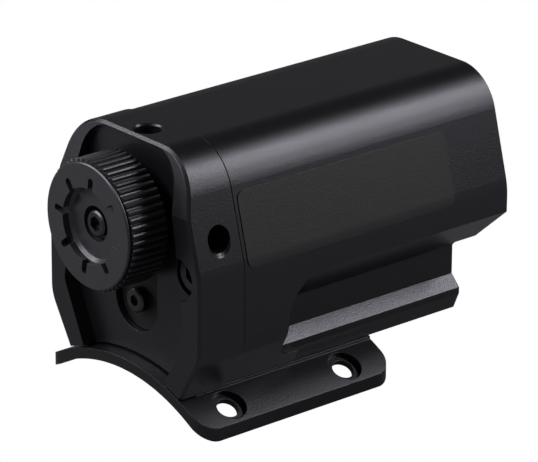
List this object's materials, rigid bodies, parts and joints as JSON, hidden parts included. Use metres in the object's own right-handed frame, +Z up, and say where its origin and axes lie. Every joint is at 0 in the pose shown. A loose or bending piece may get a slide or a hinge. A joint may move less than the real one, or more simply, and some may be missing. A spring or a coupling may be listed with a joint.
{
  "type": "infrared illuminator",
  "caption": "Compact black infrared illuminator with a knurled focus knob, adjustable beam, side rail grooves and a curved saddle base for a tube.",
  "frame": {"origin": "middle of the bounding box, on the plane through the lower edges of the saddle plate", "axes": "+X along the beam, away from the focus knob; +Z up, away from the tube; +Y to the side without the label"},
  "size_m": [0.064, 0.0354, 0.0405],
  "materials": {
    "anodised": "bead-blasted black anodised",
    "anodised_knob": "machined black anodised",
    "black_steel": "black oxide",
    "steel": "ground",
    "bare_aluminium": "machined",
    "bronze": "turned bronze",
    "rubber": "moulded",
    "glass": "polished, dark red tint",
    "lens_glass": "polished",
    "board": "solder mask",
    "chip_plastic": "moulded",
    "ceramic": "clear dome on ceramic",
    "contact_gold": "gold plated",
    "label": "satin film",
    "can": "drawn can"
  },
  "bodies": {
    "housing": {"saddle_base": "anodised", "main_housing": "anodised", "rear_cap": "anodised", "slot_cover": "anodised", "front_sleeve": "anodised_knob", "window_ring": "anodised_knob", "front_window": "glass", "window_seal": "rubber", "cap_gasket": "rubber", "side_label": "label", "cap_screw_left": "black_steel", "cap_screw_right": "black_steel", "cover_screw": "black_steel", "base_screw_rear": "black_steel", "base_screw_front": "black_steel", "elevation_spring": "steel", "windage_spring": "steel", "yaw_pin_upper": "steel", "yaw_pin_lower": "steel", "driver_board": "board", "driver_chip": "chip_plastic", "power_inductor": "chip_plastic", "capacitor": "can", "contact_block": "chip_plastic", "contact_pin_1": "contact_gold", "contact_pin_2": "contact_gold", "contact_pin_3": "contact_gold"},
    "gimbal": {"gimbal_ring": "steel", "pitch_pin_left": "steel", "pitch_pin_right": "steel"},
    "barrel": {"emitter_barrel": "bare_aluminium", "lens": "lens_glass", "lens_ring": "anodised_knob", "shaft_bush": "bronze"},
    "knob": {"focus_knob": "anodised_knob", "knob_screw": "black_steel", "focus_shaft": "steel", "shaft_spacer": "steel", "dust_washer": "rubber"},
    "sled": {"focus_sled": "bare_aluminium", "lead_nut": "bronze", "guide_pin": "steel", "led_board": "bare_aluminium", "led_emitter": "ceramic"},
    "top_screw": {"top_adjuster": "black_steel"},
    "side_screw": {"side_adjuster": "black_steel"},
    "lower_plunger": {"elevation_plunger": "steel"},
    "far_plunger": {"windage_plunger": "steel"}
  },
  "joints": [
    {"name": "windage_tilt", "type": "hinge", "parent": "housing", "child": "gimbal", "pos_m": [0.02421, 0, 0.02724], "axis": [0, 0, 1], "range_deg": [-0.5, 0.5]},
    {"name": "elevation_tilt", "type": "hinge", "parent": "gimbal", "child": "barrel", "pos_m": [0.02421, 0, 0.02724], "axis": [0, 1, 0], "range_deg": [-0.5, 0.5]},
    {"name": "focus_turn", "type": "hinge", "parent": "barrel", "child": "knob", "pos_m": [-0.02579, 0, 0.02874], "axis": [1, 0, 0], "range_deg": [0, 300]},
    {"name": "sled_slide", "type": "slide", "parent": "barrel", "child": "sled", "axis": [1, 0, 0], "range_m": [0, 0.004]},
    {"name": "top_screw_feed", "type": "slide", "parent": "housing", "child": "top_screw", "axis": [0, 0, 1], "range_m": [-0.0004, 0.0004]},
    {"name": "side_screw_feed", "type": "slide", "parent": "housing", "child": "side_screw", "axis": [0, 1, 0], "range_m": [-0.0004, 0.0004]},
    {"name": "lower_plunger_slide", "type": "slide", "parent": "housing", "child": "lower_plunger", "axis": [0, 0, 1], "range_m": [-0.0004, 0.0004]},
    {"name": "far_plunger_slide", "type": "slide", "parent": "housing", "child": "far_plunger", "axis": [0, 1, 0], "range_m": [-0.0004, 0.0004]}
  ],
  "couplings": [
    {"joint": "sled_slide", "follows": "focus_turn", "m_per_rad": 0.0007639},
    {"joint": "top_screw_feed", "follows": "elevation_tilt", "m_per_rad": 0.0454},
    {"joint": "side_screw_feed", "follows": "windage_tilt", "m_per_rad": -0.0454},
    {"joint": "lower_plunger_slide", "follows": "elevation_tilt", "m_per_rad": 0.0444},
    {"joint": "far_plunger_slide", "follows": "windage_tilt", "m_per_rad": -0.0444}
  ]
}
